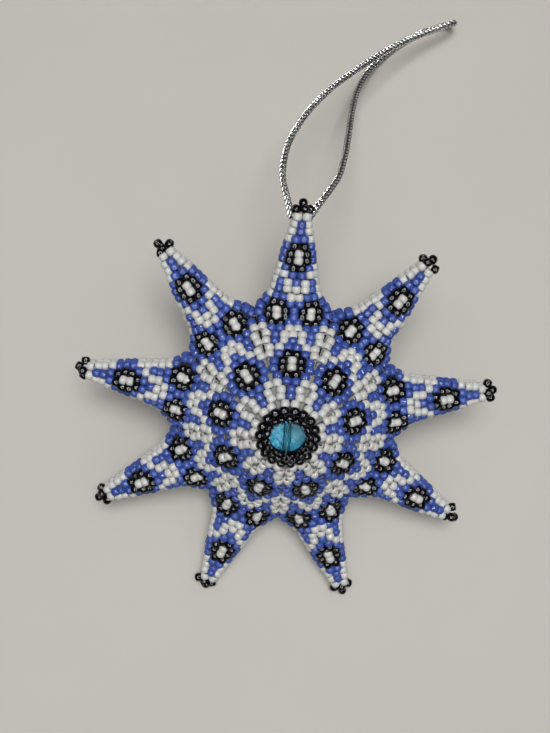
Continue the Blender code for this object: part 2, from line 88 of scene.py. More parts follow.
# %% [markdown]
# ## The route of the hanging loop
#
# The cord leaves one side of the arm's tip, swings out over the table, turns back on
# itself and comes home to the tip's other side. It is limp, so its far end has come down
# to the table. A simulation could let it fall, but the photograph shows the route from end
# to end, so the route is a short list of points and one smooth curve through them. Each
# point is how far it lies from the crossing along X and Y, in millimetres, and the share
# of the crossing's height that the cord has come down by.

# %% List the points of the route
CORD_DIAMETER = 1.5 * MM
CORD_RADIUS = CORD_DIAMETER / 2
LEFT_STRAND = [
    (-3.3, 4.5, 0.02),
    (-4.5, 9.4, 0.06),
    (-4.4, 14.0, 0.10),
    (-3.3, 19.4, 0.17),
    (-1.3, 24.1, 0.23),
    (1.3, 28.9, 0.30),
    (4.4, 33.4, 0.37),
    (8.0, 37.8, 0.44),
    (12.0, 41.9, 0.51),
    (16.4, 46.2, 0.58),
    (21.0, 50.3, 0.65),
    (25.6, 53.9, 0.71),
    (31.0, 57.4, 0.77),
    (34.9, 59.7, 0.805),
]
BIGHT = [
    (37.9, 61.4, 0.828),
    (39.8, 62.6, 0.854),
    (40.5, 63.4, 0.914),
    (39.2, 64.0, 0.975),
    (36.7, 63.2, 1.00),
]
RIGHT_STRAND = [
    (32.4, 61.5, 1.00),
    (28.1, 58.8, 1.00),
    (24.2, 55.7, 0.995),
    (20.4, 51.8, 0.965),
    (17.4, 47.4, 0.91),
    (15.2, 42.2, 0.82),
    (13.7, 36.6, 0.70),
    (12.6, 30.1, 0.56),
    (11.6, 23.3, 0.42),
    (10.5, 17.3, 0.30),
    (9.0, 11.9, 0.19),
    (6.5, 7.2, 0.09),
    (4.3, 3.6, 0.03),
]
swing = frame["joints"][0]
crossing = Vector(swing["pos_m"])
print("the loop swings about", [round(x / MM, 2) for x in crossing], "mm")

# %% [markdown]
# A Catmull-Rom curve goes through every point that it is given, and a short formula makes
# one. Read at even steps, it gives a line that bends softly everywhere.

# %% Draw one smooth line through the route
FINE_STEPS = 20


def smooth_line(route, spacing):
    """Points at even steps along a smooth curve through a route's own points."""
    points = [2 * route[0] - route[1], *route, 2 * route[-1] - route[-2]]
    fine = []
    for before, start, end, after in zip(points, points[1:], points[2:], points[3:]):
        for t in np.arange(FINE_STEPS) / FINE_STEPS:
            fine.append(0.5 * (
                2 * start + (end - before) * t
                + (2 * before - 5 * start + 4 * end - after) * t**2
                + (3 * start - before - 3 * end + after) * t**3
            ))
    fine = np.array(fine + [route[-1]])
    lengths = np.concatenate([[0], np.cumsum(np.linalg.norm(np.diff(fine, axis=0), axis=1))])
    at = np.linspace(0, lengths[-1], max(2, round(lengths[-1] / spacing)) + 1)
    even = np.stack([np.interp(at, lengths, fine[:, k]) for k in range(3)], axis=1)
    return even, lengths[-1]


def loop_route(offset):
    """The route of the cord from one side of the tip to the other."""
    fall = crossing.z - CORD_RADIUS
    points = [
        crossing + Vector((x * MM, y * MM, -share * fall))
        for x, y, share in LEFT_STRAND + BIGHT + RIGHT_STRAND
    ]
    ends = []
    for side, near in ((-1, points[0]), (1, points[-1])):
        start = crossing + Vector((side * offset, 0.0, 0.0))
        way = (near - start).normalized()
        ends.append([start - way * CORD_RADIUS / 2, start + way * CORD_DIAMETER])
    return ends[0] + points + ends[1][::-1]


BEAD_DIAMETER = 2.04 * MM
COLUMN_PITCH = 2.15 * MM
TIP_COLUMNS = 2
SNUG = 0.95 * MM
CORD_STEP = 0.3 * MM

tip_radius = COLUMN_PITCH * TIP_COLUMNS / math.pi
cord_offset = tip_radius + BEAD_DIAMETER / 2 + CORD_RADIUS - SNUG
cord_line, cord_length = smooth_line(loop_route(cord_offset), CORD_STEP)
print("the loop is", round(cord_length / MM, 1), "mm long, drawn with", len(cord_line), "points")

# %% [markdown]
# ## Braiding the cord
#
# A silver cord is a tube of flat metallic strands. Half of them wind one way and half the
# other, and each goes over one strand and under the next. The bright ones ride a little
# higher than the dull ones; which strands are bright and which dull is painted highlight and
# painted shade. A bump map could suggest the crossings, but the highlights of real strands
# break up along the cord as they do in the photograph, so the strands are meshes: rings of
# points carried along the line, on a helix whose radius swells and shrinks where the strands
# cross. A number at each point, its painted shine, follows how high its strand rides there,
# is smaller on the dull strands, and sets how light the finish paints it. A dark core fills
# the middle; its near-black colour is partly painted shade in the gaps between strands.

# %% Carry a frame along a line


def frames_along(line):
    """For each point of a line, two directions square to it that don't twist."""
    tangents = np.gradient(line, axis=0)
    tangents /= np.linalg.norm(tangents, axis=1)[:, None]
    side = np.cross(tangents[0], (0.0, 0.0, 1.0))
    sides = []
    for tangent in tangents:
        side = side - tangent * side.dot(tangent)
        side = side / np.linalg.norm(side)
        sides.append(side)
    sides = np.array(sides)
    return sides, np.cross(tangents, sides)


def tube_faces(rings, sides, start):
    """The faces of a closed tube whose rings of points follow one another from start."""
    faces = [tuple(start + i for i in range(sides))[::-1]]
    for ring in range(rings - 1):
        low = start + ring * sides
        for i in range(sides):
            j = (i + 1) % sides
            faces.append((low + i, low + j, low + sides + j, low + sides + i))
    last = start + (rings - 1) * sides
    faces.append(tuple(last + i for i in range(sides)))
    return faces


def tube_points(line, side, up, across, thick, sides):
    """The rings of points of an oval tube along a line."""
    turns = 2 * math.pi * np.arange(sides) / sides
    ring = side[:, None] * (across * np.cos(turns))[None, :, None]
    ring = ring + up[:, None] * (thick * np.sin(turns))[None, :, None]
    return (line[:, None] + ring).reshape(-1, 3)


print("carried a frame to", len(frames_along(cord_line)[0]), "points of the loop")

# %% Wind the strands
STRANDS_EACH_WAY = 5
BRAID_LEAD = 6.2 * MM
STRAND_WIDTH = 0.46 * MM
STRAND_THICKNESS = 0.30 * MM
STRAND_WAVE = 0.08 * MM
STRANDS_PROUD = 0.13 * MM
STRAND_SIDES = 6
BRIGHT_STRANDS_OVER = 0.04 * MM
PAINTED_SHINE_SWING = 1.4
PAINTED_SHINE_LEVEL = 0.7
DULL_PAINTED_SHINE = 0.3
CORE_RADIUS = 0.45 * MM
CORE_SIDES = 8


def smooth_mesh(name, points, faces):
    """A mesh of points and faces, shaded smooth."""
    mesh = bpy.data.meshes.new(name)
    mesh.from_pydata(points, [], faces)
    mesh.shade_smooth()
    return mesh


def number_points(mesh, name, numbers):
    """Keeps a number at each point of a mesh, for its finish to read."""
    mesh.attributes.new(name, "FLOAT", "POINT").data.foreach_set("value", numbers)


def braid_mesh(name, line):
    """A braided cord along a line: the strands, and a dark core inside them."""
    side, up = frames_along(line)
    steps = np.linalg.norm(np.diff(line, axis=0), axis=1)
    along = np.concatenate([[0], np.cumsum(steps)])
    middle = CORD_RADIUS - STRAND_THICKNESS / 2 - STRAND_WAVE + STRANDS_PROUD
    points = [tube_points(line, side, up, CORE_RADIUS, CORE_RADIUS, CORE_SIDES)]
    faces = tube_faces(len(line), CORE_SIDES, 0)
    strand_of = [0] * len(faces)
    painted_shine = [np.zeros(CORE_SIDES * len(line))]
    for number in range(2 * STRANDS_EACH_WAY):
        way = 1 if number % 2 else -1
        advance = 2 * math.pi * along / BRAID_LEAD
        turn = way * advance + 2 * math.pi * (number // 2) / STRANDS_EACH_WAY
        wave = way * np.cos(STRANDS_EACH_WAY * advance)
        out = side * np.cos(turn)[:, None] + up * np.sin(turn)[:, None]
        rise = middle + STRAND_WAVE * wave + BRIGHT_STRANDS_OVER * way
        spine = line + out * rise[:, None]
        run = np.gradient(spine, axis=0)
        run /= np.linalg.norm(run, axis=1)[:, None]
        flat = np.cross(run, out)
        start = sum(len(block) for block in points)
        points.append(tube_points(
            spine, flat, out, STRAND_WIDTH / 2, STRAND_THICKNESS / 2, STRAND_SIDES
        ))
        # The painted shine: painted highlight on one way's strands, painted shade where a strand dives and on the
        # dull strands.
        if way > 0:
            shine = np.clip(PAINTED_SHINE_SWING * wave + PAINTED_SHINE_LEVEL, 0, 1)
        else:
            shine = DULL_PAINTED_SHINE * np.clip(wave, 0, 1)
        painted_shine.append(np.repeat(shine, STRAND_SIDES))
        new = tube_faces(len(line), STRAND_SIDES, start)
        faces += new
        strand_of += [1] * len(new)
    mesh = smooth_mesh(name, np.concatenate(points).tolist(), faces)
    mesh.polygons.foreach_set("material_index", strand_of)
    number_points(mesh, "painted_shine", np.concatenate(painted_shine))
    return mesh


loop = linked("braided_loop", braid_mesh("braided_loop", cord_line))
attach(loop, "loop")
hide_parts("hanging_loop")
print("braided", 2 * STRANDS_EACH_WAY, "strands")

# %% [markdown]
# ## The star's own frame
#
# Beads are easiest to place with the star flat and its first arm pointing along Y. Two of
# the record's mounts are the flat faces of the front and back centre beads, so the point
# halfway between them is the star's middle, and the line between them is its axis.

# %% Find the star's frame
mounts = {mount["name"]: Vector(mount["pos_m"]) for mount in frame["record"]["mounts"]}
front_face = mounts["front_centre_face"]
back_face = mounts["back_centre_face"]
star_axis = (front_face - back_face).normalized()
star_right = Vector(swing["axis"]).normalized()
star_up = star_axis.cross(star_right)
star = Matrix.Translation((front_face + back_face) / 2) @ Matrix(
    (star_right, star_up, star_axis)
).transposed().to_4x4()
lean = math.degrees(math.acos(star_axis.z))
print("the star leans back by", round(lean, 2), "degrees")

# %% [markdown]
# ## The shape of the beadwork
#
# The netting is nine diamonds, each fifteen rounds long and up to nine columns wide. Up to
# the eighth round a diamond is one side of an arm, a round tube that flattens and widens
# at its root. From there it is a sector of the dome. Modelling the surface by hand would
# never match the bead counts, so it is written as a formula: a round and a place across
# the diamond give a point.

# %% Write the beadwork as a formula
ARMS = 9
ROOT_ROUND = 8
TUBE_END_ROUND = 6
LEVEL_ROUND = 12.5
CIRCLE_ROUND = 12
LAST_ROUND = 2 * ROOT_ROUND - 1
SECTOR = math.pi / ARMS
ROUND_PITCH = 3.4 * MM
CROWN_RADIUS = 7.2 * MM
DOME_SLOPE = math.radians(31.5)
ROOT_HEIGHT = 4.7 * MM
FLARE_POWER = 2.2
ARM_TENSION = 0.033
VALLEY_FALL = 1.6
VALLEY_POWER = 3


def columns(row):
    """How many beads wide a diamond is at a round."""
    return TIP_COLUMNS + ROOT_ROUND - 1 - abs(row - ROOT_ROUND)


def dome_radius(row):
    return CROWN_RADIUS + ROUND_PITCH * math.cos(DOME_SLOPE) * (LAST_ROUND - row)


def ridge_height(row):
    return ROOT_HEIGHT + ROUND_PITCH * math.sin(DOME_SLOPE) * (row - ROOT_ROUND)


def arm_reach(row):
    """How far from the axis a round of an arm lies; thread tension draws the rounds in."""
    drawn = ROUND_PITCH * (1 - ARM_TENSION)
    return dome_radius(ROOT_ROUND) * math.cos(SECTOR) + drawn * (ROOT_ROUND - row)


print("the first round lies", round(arm_reach(1) / MM, 1), "mm from the star's axis")

# %% Bend an arm and a sector of the dome


def arm_point(row, across):
    """A point of an arm's upper side; across runs from -1 to 1 between its seams."""
    tube = COLUMN_PITCH * columns(row) / math.pi
    flare = max(0.0, (row - TUBE_END_ROUND) / (ROOT_ROUND - TUBE_END_ROUND))
    root_width = dome_radius(ROOT_ROUND) * math.sin(SECTOR)
    width = tube + (root_width - tube) * flare**FLARE_POWER
    height = tube + (ROOT_HEIGHT - tube) * flare
    turn = across * math.pi / 2
    level = 1 - abs(across) ** VALLEY_POWER
    side = width * ((1 - flare) * math.sin(turn) + flare * across)
    up = height * ((1 - flare) * math.cos(turn) + flare * level)
    return Vector((side, arm_reach(row), up))


def dome_point(row, across):
    """A point of a sector, whose rounds run straight at the arm and bend into circles."""
    straight = max(0.0, (CIRCLE_ROUND - row) / (CIRCLE_ROUND - ROOT_ROUND))
    angle = SECTOR * across
    radius = dome_radius(row) * (math.cos(SECTOR) / math.cos(angle)) ** straight
    level = max(0.0, (LEVEL_ROUND - row) / (LEVEL_ROUND - ROOT_ROUND))
    valley = ROOT_HEIGHT * level**VALLEY_FALL
    up = ridge_height(row) - valley * abs(across) ** VALLEY_POWER
    return Vector((radius * math.sin(angle), radius * math.cos(angle), up))


def diamond_point(row, across):
    return arm_point(row, across) if row < ROOT_ROUND else dome_point(row, across)


def outward(row, across):
    """Which way is out at a point of a diamond."""
    step = 0.05
    along = diamond_point(row + step, across) - diamond_point(row - step, across)
    aside = diamond_point(row, across + step) - diamond_point(row, across - step)
    return along.normalized().cross(aside).normalized()


print("the crown lies", round(ridge_height(LAST_ROUND) / MM, 1), "mm above the middle")

# %% [markdown]
# ## One seed bead
#
# A seed bead is a short slice of glass tube, tumbled in a kiln until its rims melt round.
# Its section is a rounded bar a little longer than it is thick, turned about the hole. A
# torus would be too round and a bevelled cylinder too hard, so the section is a
# superellipse, and every bead is turned from it and then varied a little.

# %% Turn a bead on a lathe
HOLE_RADIUS = 0.30 * MM
BEAD_LENGTH = 1.78 * MM
BEAD_SWELL = 1.09
SECTION_SQUARENESS = 2.05
SECTION_POINTS = 11
BEAD_SIDES = 14


def turned_bead(diameter, length, hole):
    """The points and faces of a bead whose hole runs along Y."""
    wall = (diameter / 2 - hole) / 2
    power = 2 / SECTION_SQUARENESS
    points = []
    for i in range(BEAD_SIDES):
        turn = 2 * math.pi * i / BEAD_SIDES
        for j in range(SECTION_POINTS):
            angle = 2 * math.pi * j / SECTION_POINTS
            thick = math.copysign(abs(math.cos(angle)) ** power, math.cos(angle))
            tall = math.copysign(abs(math.sin(angle)) ** power, math.sin(angle))
            radius = hole + wall + wall * thick
            points.append((
                radius * math.cos(turn), length / 2 * tall, radius * math.sin(turn),
            ))
    faces = []
    for i in range(BEAD_SIDES):
        for j in range(SECTION_POINTS):
            k = (i + 1) % BEAD_SIDES
            m = (j + 1) % SECTION_POINTS
            faces.append((
                i * SECTION_POINTS + j, i * SECTION_POINTS + m,
                k * SECTION_POINTS + m, k * SECTION_POINTS + j,
            ))
    return np.array(points), np.array(faces)


SEED_BEAD = turned_bead(BEAD_DIAMETER * BEAD_SWELL, BEAD_LENGTH, HOLE_RADIUS)
RIM_BEAD_DIAMETER = 1.85 * MM
RIM_BEAD_LENGTH = 0.82 * RIM_BEAD_DIAMETER
RIM_BEAD_HOLE = 0.8 * HOLE_RADIUS
RIM_BEAD = turned_bead(RIM_BEAD_DIAMETER, RIM_BEAD_LENGTH, RIM_BEAD_HOLE)
print("a bead has", len(SEED_BEAD[1]), "faces")

# %% [markdown]
# Thousands of separate objects would be slow, so all the beads of one sewn piece become one
# mesh. Each bead keeps a number of its own, from which the finishes take the small
# differences between beads of one batch.

# %% Gather beads into one mesh
COLOURS = "UWB"
SIZE_SPREAD = 0.025
LENGTH_SPREAD = 0.035
TILT_SPREAD = math.radians(5)
SHIFT_SPREAD = 0.055 * MM


def bead(centre, along, out, colour, spread=1.0):
    """One bead: where it is, how it is turned and scaled, its colour and its own tone."""
    side = along.cross(out).normalized()
    turned = Matrix((side, along, side.cross(along))).transposed()
    for axis in ("X", "Z"):
        turned = turned @ Matrix.Rotation(chance.normal(0, TILT_SPREAD * spread), 3, axis)
    turned = turned @ Matrix.Rotation(chance.uniform(0, 2 * math.pi), 3, "Y")
    wide = 1 + chance.normal(0, SIZE_SPREAD)
    long = 1 + chance.normal(0, LENGTH_SPREAD)
    shape = np.array(turned) * (wide, long, wide)
    place = np.array(centre) + chance.normal(0, SHIFT_SPREAD * spread, 3)
    return place, shape, colour, chance.uniform()


def bead_object(name, beads, turned=SEED_BEAD):
    """One piece made of many beads, each face with its bead's colour."""
    points, faces = turned
    places, shapes, letters, tones = zip(*beads)
    rest = np.array(star)
    blocks = [points @ shape.T + place for place, shape in zip(places, shapes)]
    placed = np.concatenate(blocks) @ rest[:3, :3].T + rest[:3, 3]
    starts = np.arange(len(beads))[:, None, None] * len(points)
    mesh = smooth_mesh(name, placed.tolist(), (faces[None] + starts).reshape(-1, 4).tolist())
    colour_of = np.repeat([COLOURS.index(letter) for letter in letters], len(faces))
    mesh.polygons.foreach_set("material_index", colour_of)
    number_points(mesh, "bead_tone", np.repeat(tones, len(points)))
    for letter in COLOURS:
        mesh.materials.append(bead_glass[letter])
    made = linked(name, mesh)
    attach(made, "star")
    return made


print("beads vary by about", SIZE_SPREAD, "in width and", LENGTH_SPREAD, "in length")

# %% [markdown]
# ## A small language for finishes
#
# Node trees written link by link are hard to read. One small class wraps a socket and lets
# Python's arithmetic add Math nodes. A second holds the material, adds any other node, and
# has a word for what most finishes share. A finish then reads like a formula.

# %% Wrap sockets and materials


def plug(item, slot):
    """Feeds a slot from a number, a colour or another socket."""
    if isinstance(item, Value):
        slot.id_data.links.new(item.socket, slot)
    else:
        slot.default_value = item


class Value:
    """A shader's socket, on which arithmetic adds Math nodes."""

    def __init__(self, socket):
        self.socket = socket

    def math(self, operation, first, second):
        node = self.socket.id_data.nodes.new("ShaderNodeMath")
        node.operation = operation
        plug(first, node.inputs[0])
        plug(second, node.inputs[1])
        return Value(node.outputs[0])

    def __add__(self, other):
        return self.math("ADD", self, other)

    def __radd__(self, other):
        return self.math("ADD", other, self)

    def __sub__(self, other):
        return self.math("SUBTRACT", self, other)

    def __rsub__(self, other):
        return self.math("SUBTRACT", other, self)

    def __mul__(self, other):
        return self.math("MULTIPLY", self, other)

    def __rmul__(self, other):
        return self.math("MULTIPLY", other, self)


class Finish:
    """A material being made, with one method that adds any node to it."""

    def __init__(self, name):
        self.material = bpy.data.materials.new(name)
        self.material.use_nodes = True
        self.tree = self.material.node_tree
        self.shader = self.tree.nodes["Principled BSDF"]

    def add(self, kind, settings=None, inputs=None, out=0):
        """Adds a node by its type, settings and inputs, and gives one of its outputs."""
        node = self.tree.nodes.new("ShaderNode" + kind)
        for name, value in (settings or {}).items():
            setattr(node, name, value)
        for name, item in (inputs or {}).items():
            plug(item, node.inputs[name])
        return Value(node.outputs[out])

    def mix(self, mask, low, high):
        """The colour low where the mask is 0 and high where it is 1."""
        settings = {"data_type": "RGBA", "clamp_factor": True}
        return self.add("Mix", settings, {0: mask, 6: low, 7: high}, out=2)

    def cloud(self, scale, detail=2.0, distortion=0.0):
        """Noise that runs through the whole object."""
        return self.add("TexNoise", inputs={
            "Vector": self.add("TexCoord", out="Object"),
            "Scale": scale, "Detail": detail, "Distortion": distortion,
        })

    def number(self, name):
        """The number that a mesh keeps at each point."""
        return self.add("Attribute", {"attribute_name": name}, out="Fac")

    def bump(self, strength, depth, height):
        """A normal that follows a height, to a depth in millimetres."""
        return self.add("Bump", inputs={
            "Strength": strength, "Distance": depth * MM, "Height": height,
        })

    def set(self, **inputs):
        """Sets the main shader's sockets, whose spaces are written as underscores."""
        for name, item in inputs.items():
            plug(item, self.shader.inputs[name.replace("_", " ")])
        return self.material


print("a finish is now a formula")

# %% [markdown]
# ## Opaque glass
#
# The blue, white and black beads are solid-coloured glass with a fired gloss. Beads of one
# batch differ a little in shade, and each is faintly cloudy and uneven. A soft noise as
# large as half a bead, the bead's own tone and a slight bump give that.

# %% Make the three bead glasses


def colour(red, green, blue):
    return (red, green, blue, 1.0)


def opaque_glass(name, light, deep, roughness, gloss, mirror):
    """Fired glass whose shade wanders between two colours; mirror is its IOR."""
    finish = Finish(name)
    tone = finish.number("bead_tone")
    cloudy = finish.cloud(900.0, 3.0)
    return finish.set(
        Base_Color=finish.mix(tone * 0.5 + cloudy * 0.5, colour(*light), colour(*deep)),
        Roughness=cloudy * roughness + roughness / 2,
        IOR=mirror,
        Normal=finish.bump(0.15, 0.03, finish.cloud(2600.0)),
        Coat_Weight=gloss,
        Coat_Roughness=0.04,
    )


GLASSES = {
    "U": ("blue_glass", (0.066, 0.124, 0.455), (0.034, 0.066, 0.30), 0.20, 0.06, 1.27),
    "W": ("white_glass", (0.68, 0.68, 0.66), (0.60, 0.60, 0.58), 0.24, 0.02, 1.27),
    "B": ("black_glass", (0.001, 0.001, 0.002), (0.003, 0.003, 0.005), 0.05, 0.0, 1.34),
}
bead_glass = {letter: opaque_glass(*recipe) for letter, recipe in GLASSES.items()}
print("glasses:", [material.name for material in bead_glass.values()])

# %% [markdown]
# ## The chart
#
# A beadworker reads a diamond from a chart. Each round is a row of bead pairs, an outer
# bead and the inner one behind it, and the diamond is the same on both sides of its middle
# and, from the root round inwards, the same again in reverse. The chart lists the pairs of
# each round from the middle column out: U is blue, W white and B black.

# %% Write the chart
CHART = {
    1: "BW",
    2: "UU WW",
    3: "UB WU",
    4: "WW BB UU",
    5: "BU UW WW",
    6: "UW WW UU WW",
    7: "WU UB UB WU",
    8: "UU BB WW BB UU",
}


def pair_colours(row, column):
    """The outer and the inner bead's colour at a round, column steps from the middle."""
    if row > ROOT_ROUND:
        return pair_colours(2 * ROOT_ROUND - row, column)[::-1]
    return CHART[row].split()[int(abs(column))]


def pair_columns(row):
    """The columns of a round as steps from the middle, with halves where none is there."""
    count = columns(row)
    return [i - (count - 1) / 2 for i in range(count)]


beads_in_diamond = 2 * sum(columns(row) for row in range(1, LAST_ROUND + 1))
print("the chart has", beads_in_diamond, "beads, those of the tip and the ring among them")

# %% [markdown]
# ## Sewing the diamonds
#
# The two beads of a pair lie end to end. In the dome each pair's outer end leans towards
# the middle of its diamond, so a row of small Vs opens along each valley. The back is
# worked like the front, so its beads are the front's turned over. The first round's outer
# beads belong to the arm's tip and the last round's inner ones to the ring round the centre
# bead, so the diamond leaves them out. No arm of the real star is quite straight: each
# sways a little to one side.

# %% Place the beads of one diamond
SIDES = ("front", "back")
PAIR_OFFSET = 0.24
COLUMN_PULL = 0.75
PAIR_LEAN = 0.6
SEWN_PITCH = 2.12 * MM
ARM_SWAY = (0.4, -1.2, 0.2, -0.4, -1.0, -0.3, 0.6, -0.5, 0.8)


def arm_turn(arm):
    """Turns the first arm's place into that of another, clockwise from the front."""
    return Matrix.Rotation(-2 * SECTOR * (arm - 1), 3, "Z")


def over(vector, side):
    """The same vector on the front, or turned over on the back."""
    return Vector((vector.x, vector.y, vector.z if side == "front" else -vector.z))


def swayed(arm, point):
    """The point of an arm after the arm has swayed sideways, most of all at its tip."""
    root = arm_reach(ROOT_ROUND)
    share = max(0.0, (point.y - root) / (arm_reach(1) - root))
    return point + Vector((ARM_SWAY[arm - 1] * MM * share**2, 0.0, 0.0))


def column_place(row, at, column):
    """Where across the diamond a column lies, leaning to the middle at its outer end."""
    even = column / (columns(row) / 2)
    if row <= ROOT_ROUND:
        return even
    close = column * SEWN_PITCH / (dome_radius(at) * SECTOR)
    return even + (COLUMN_PULL + PAIR_LEAN * (row - at)) * (close - even)


def pair_bead(side, arm, row, column, inner):
    """The place, run and outward way of one bead of a pair."""
    rows = [row - PAIR_OFFSET, row + PAIR_OFFSET]
    places = [column_place(row, at, column) for at in rows]
    ends = [swayed(arm, diamond_point(at, across)) for at, across in zip(rows, places)]
    out = outward(rows[inner], places[inner])
    along = (ends[1] - ends[0]).normalized()
    turn = arm_turn(arm)
    return [turn @ over(v, side) for v in (ends[inner], along, out)]


def diamond_beads(side, arm):
    """All the beads of one diamond but its very first and last ones."""
    beads = []
    for row in range(1, LAST_ROUND + 1):
        for column in pair_columns(row):
            for inner, letter in enumerate(pair_colours(row, column)):
                if (row, inner) in ((1, 0), (LAST_ROUND, 1)):
                    continue
                beads.append(bead(*pair_bead(side, arm, row, column, inner), letter))
    return beads


for side in SIDES:
    for arm in range(1, ARMS + 1):
        piece = bead_object(f"{side}_diamond_{arm}", diamond_beads(side, arm))
        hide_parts(f"{side}_panel_{arm}")
print("sewed", 2 * ARMS, "diamonds")

# %% [markdown]
# ## The tips
#
# Four black beads close each arm. Nothing holds their outer ends, so they open like petals:
# one to each side, one up and one straight out. A petal is listed as its place beyond the
# arm's end, in millimetres, and the way its hole runs. No two tips look alike, so each tip
# is turned and each petal pushed a little by chance.

# %% Close the arm tips
TIP_PETALS = [
    ((-1.75, 0.75, 0.1), (-0.9, 0.6, 0.1)),
    ((1.75, 0.75, 0.1), (0.9, 0.6, 0.1)),
    ((0.1, 1.0, 1.0), (0.1, 0.9, 0.8)),
    ((-0.1, 2.2, -0.35), (-0.1, 1.0, -0.4)),
]
TIP_TWIST = math.radians(22)
TIP_SHIFT = 0.18 * MM
TIP_LOOSENESS = 3.0


def tip_beads(arm):
    turn = arm_turn(arm) @ Matrix.Rotation(chance.uniform(-TIP_TWIST, TIP_TWIST), 3, "Y")
    start = swayed(arm, Vector((0.0, arm_reach(1), 0.0)))
    beads = []
    for place, way in TIP_PETALS:
        shift = Vector(chance.normal(0, TIP_SHIFT, 3).tolist())
        along = Vector(way).normalized()
        out = Vector((0.0, 0.0, 1.0)).cross(along).cross(along)
        centre = start + Vector(place) * MM + shift
        placed = [turn @ v for v in (centre, along, out.normalized())]
        beads.append(bead(*placed, "B", spread=TIP_LOOSENESS))
    return beads


for arm in range(1, ARMS + 1):
    piece = bead_object(f"tip_cluster_{arm}", tip_beads(arm))
    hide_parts(f"tip_beads_{arm}")
print("closed", ARMS, "tips")

# %% [markdown]
# ## The bezel
#
# A ring of black beads ends the netting, and a ring of smaller ones stands up inside it and
# leans over the edge of the centre bead to hold it down.

# %% Set the two rings of the bezel
RIM_LEAN = math.radians(36)
RIM_RISE = 0.86 * MM
GAP = 0.3 * MM
RING_BEADS = ARMS * TIP_COLUMNS
RIM_BEAD_LEAN = math.radians(52)
RING_LOOSENESS = 1.5


def ring_beads(side, radius, height, lean, offset):
    """A ring of black beads whose holes lean up towards the middle."""
    beads = []
    for i in range(RING_BEADS):
        turn = 2 * math.pi * i / RING_BEADS + offset
        spoke = Vector((math.sin(turn), math.cos(turn), 0.0))
        centre = spoke * radius + Vector((0.0, 0.0, height))
        along = spoke * -math.cos(lean) + Vector((0.0, 0.0, math.sin(lean)))
        out = spoke * math.sin(lean) + Vector((0.0, 0.0, math.cos(lean)))
        placed = [over(v, side) for v in (centre, along, out)]
        beads.append(bead(*placed, "B", spread=RING_LOOSENESS))
    return beads


quarter = ROUND_PITCH / 4
bezel_radius = CROWN_RADIUS - quarter * math.cos(DOME_SLOPE)
bezel_height = ridge_height(LAST_ROUND) + quarter * math.sin(DOME_SLOPE)
rim_step = quarter + GAP / 2 + RIM_RISE
rim_radius = bezel_radius - rim_step * math.cos(RIM_LEAN)
rim_height = bezel_height + rim_step * math.sin(RIM_LEAN)
for side in SIDES:
    half = math.pi / RING_BEADS
    outer = ring_beads(side, bezel_radius, bezel_height, DOME_SLOPE, half)
    inner = ring_beads(side, rim_radius, rim_height, RIM_BEAD_LEAN, 0.0)
    outer_ring = bead_object(f"{side}_bezel_beads", outer)
    inner_ring = bead_object(f"{side}_rim_beads", inner, RIM_BEAD)
    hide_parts(f"{side}_bezel_ring")
    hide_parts(f"{side}_rim_ring")
print("the rings' radii are", round(bezel_radius / MM, 2), "and", round(rim_radius / MM, 2), "mm")

# %% [markdown]
# ## The sewing thread
#
# Grey thread runs through every bead and shows as short dark stretches between the rounds,
# most of all in the valleys, where the netting opens. One fine tube along each gap between
# two rounds, weaving from the end of one column to the start of the next, is enough.

# %% Make the thread's finish


def twisted(name, light, dark, turns, roughness):
    """Fibres twisted together, seen as fine slanting stripes."""
    finish = Finish(name)
    stripe = finish.add("TexWave", {"bands_direction": "DIAGONAL"}, {
        "Vector": finish.add("TexCoord", out="Object"),
        "Scale": turns, "Distortion": 4.0, "Detail": 2.0,
    }, out="Fac")
    fuzz = finish.cloud(5000.0)
    return finish.set(
        Base_Color=finish.mix(stripe * 0.7 + fuzz * 0.3, dark, light),
        Roughness=fuzz * 0.2 + roughness,
        Normal=finish.bump(0.6, 0.03, stripe + fuzz * 0.5),
    )


THREAD_TURNS = 1500.0
grey_thread = twisted(
    "grey_thread", colour(0.30, 0.29, 0.28), colour(0.08, 0.08, 0.08), THREAD_TURNS, 0.7
)
print("thread finish:", grey_thread.name)

# %% Weave the thread between the rounds
THREAD_RADIUS = 0.13 * MM
THREAD_WEAVE = 0.09


def gap_stops(row):
    """Where across a diamond the thread stops between a round and the next."""
    stops = []
    for near, weave in ((row, -THREAD_WEAVE), (row + 1, THREAD_WEAVE)):
        stops += [(column_place(near, row + 0.5, c), weave) for c in pair_columns(near)]
    return sorted(stops)


def thread_points(side, arm, row):
    """The thread in one gap of one diamond, in the row's frame."""
    turn = arm_turn(arm)
    return [
        star @ (turn @ over(swayed(arm, diamond_point(row + 0.5 + weave, across)), side))
        for across, weave in gap_stops(row)
    ]


def add_spline(curve, points, closed):
    spline = curve.splines.new("POLY")
    spline.points.add(len(points) - 1)
    for stop, point in zip(spline.points, points):
        stop.co = (*point, 1.0)
    spline.use_cyclic_u = closed


for side in SIDES:
    curve = bpy.data.curves.new(f"{side}_sewing_thread", "CURVE")
    curve.dimensions = "3D"
    curve.bevel_depth = THREAD_RADIUS
    curve.bevel_resolution = 1
    for row in range(1, ROOT_ROUND):
        for arm in range(1, ARMS + 1):
            add_spline(curve, thread_points(side, arm, row), closed=False)
    for row in range(ROOT_ROUND, LAST_ROUND):
        ring = [p for arm in range(1, ARMS + 1) for p in thread_points(side, arm, row)]
        add_spline(curve, ring, closed=True)
    curve.materials.append(grey_thread)
    thread = linked(f"{side}_sewing_thread", curve)
    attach(thread, "star")
print("wove", LAST_ROUND - 1, "gaps on each side")

